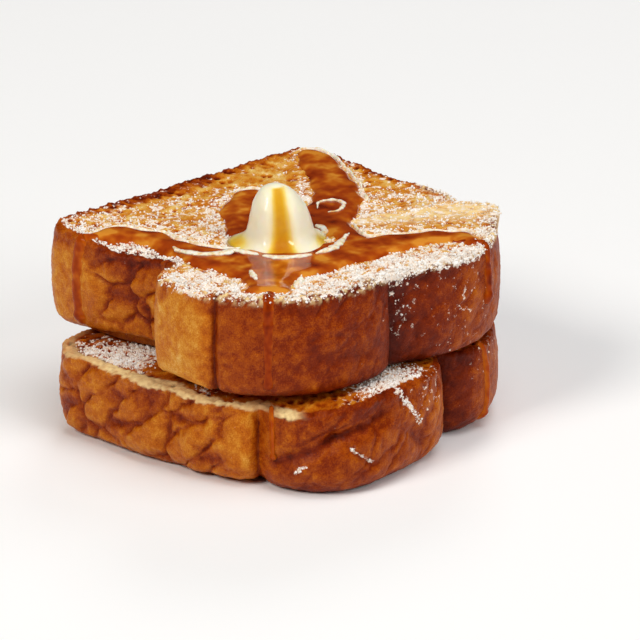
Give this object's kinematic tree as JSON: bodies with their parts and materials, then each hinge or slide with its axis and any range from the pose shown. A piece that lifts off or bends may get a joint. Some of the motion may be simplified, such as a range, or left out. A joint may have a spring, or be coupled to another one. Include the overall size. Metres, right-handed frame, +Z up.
{
  "type": "french toast",
  "caption": "Stack of thick golden french toast with melting butter, maple syrup running down the crust and a dusting of powdered sugar.",
  "frame": {"origin": "on the table, under the middle of the stack's bounding box", "axes": "+Z up; +Y towards the flat side of the loaf, away from its risen crown; +X along the width of the loaf"},
  "size_m": [0.1356, 0.1304, 0.084],
  "materials": {
    "toast": "browned crust and egg-soaked crumb, soft and slightly greasy, dusted with sugar",
    "butter": "soft melting butter",
    "syrup": "clear amber maple syrup, wet and shiny"
  },
  "bodies": {
    "root": {"toast_lower": "toast", "toast_upper": "toast", "butter": "butter", "syrup": "syrup", "syrup_run_front": "syrup", "syrup_run_crown": "syrup"}
  },
  "joints": []
}
